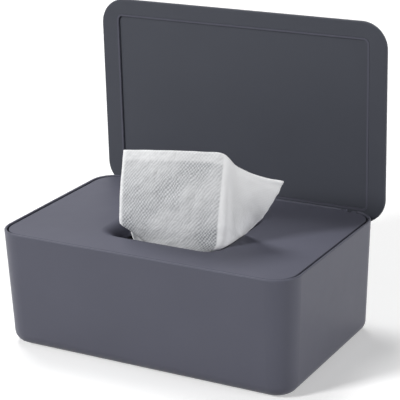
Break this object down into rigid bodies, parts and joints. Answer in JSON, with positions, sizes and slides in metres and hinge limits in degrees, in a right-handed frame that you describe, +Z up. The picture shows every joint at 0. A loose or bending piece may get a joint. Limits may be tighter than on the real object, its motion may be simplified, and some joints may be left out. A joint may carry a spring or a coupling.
{
  "type": "countertop wipes dispenser",
  "caption": "Rounded countertop box for folded wipes, with an upright hinged lid, a lift-out cover with a rolled opening, and a wipe standing in it.",
  "frame": {"origin": "middle of the footprint of the open box, on the surface that its four feet stand on, 4.7 mm behind the middle of the tub", "axes": "+Z up, +X to the right seen from the front, +Y to the back, where the lid is hinged"},
  "size_m": [0.1914, 0.1304, 0.1837],
  "materials": {
    "box_plastic": "fine satin moulding, slate grey",
    "cover_plastic": "fine satin moulding, slate grey",
    "lid_plastic": "fine satin moulding, slate grey",
    "seal_rubber": "soft silicone, slate grey",
    "foot_rubber": "soft non-slip pad",
    "pin_steel": "plain drawn wire",
    "wipe_fabric": "embossed nonwoven, white"
  },
  "bodies": {
    "box": {"box_tub": "box_plastic", "foot_front_left": "foot_rubber", "foot_front_right": "foot_rubber", "foot_rear_left": "foot_rubber", "foot_rear_right": "foot_rubber", "wipe_stack": "wipe_fabric", "next_wipe": "wipe_fabric"},
    "cover": {"cover_panel": "cover_plastic", "hinge_pin_left": "pin_steel", "hinge_pin_right": "pin_steel"},
    "lid": {"lid_shell": "lid_plastic", "lid_seal": "seal_rubber"},
    "wipe": {"pulled_wipe": "wipe_fabric"}
  },
  "joints": [
    {"name": "cover_lift", "type": "slide", "parent": "box", "child": "cover", "axis": [0, 0, 1], "range_m": [0, 0.06]},
    {"name": "lid_hinge", "type": "hinge", "parent": "cover", "child": "lid", "pos_m": [0, 0.0542, 0.0636], "axis": [-1, 0, 0], "range_deg": [-90, 0], "deforming": ["pulled_wipe"]},
    {"name": "wipe_pull", "type": "slide", "parent": "cover", "child": "wipe", "axis": [0, 0, 1], "range_m": [0, 0.09]}
  ]
}
